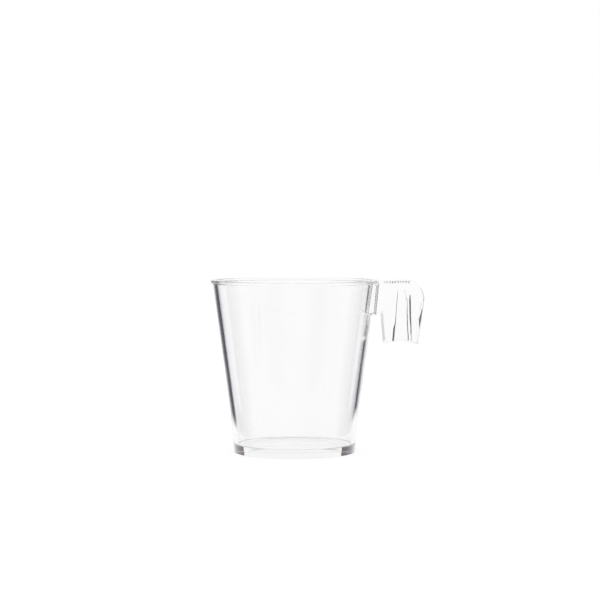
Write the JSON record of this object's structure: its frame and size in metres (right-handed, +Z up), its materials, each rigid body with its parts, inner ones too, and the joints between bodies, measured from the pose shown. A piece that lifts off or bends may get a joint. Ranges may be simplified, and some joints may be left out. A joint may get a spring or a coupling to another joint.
{
  "type": "espresso cup",
  "caption": "Clear plastic espresso cup with tapered sides, a thick flat base, a slim rolled rim and a hollow pinch handle set level with the rim.",
  "frame": {"origin": "centre of the underside of the base, on the cup's own axis", "axes": "+Z up through the open mouth, +X from the cup's axis to the handle"},
  "size_m": [0.0741, 0.0582, 0.06],
  "materials": {
    "clear_plastic": "clear, polished moulded plastic"
  },
  "bodies": {
    "root": {"base_disc": "clear_plastic", "cup_wall": "clear_plastic", "rim_lip": "clear_plastic", "handle_root_pad": "clear_plastic", "handle_inner_leg": "clear_plastic", "handle_front_cheek": "clear_plastic", "handle_back_cheek": "clear_plastic", "handle_cross_rib": "clear_plastic", "handle_end_wall": "clear_plastic", "thumb_plate": "clear_plastic"}
  },
  "joints": []
}
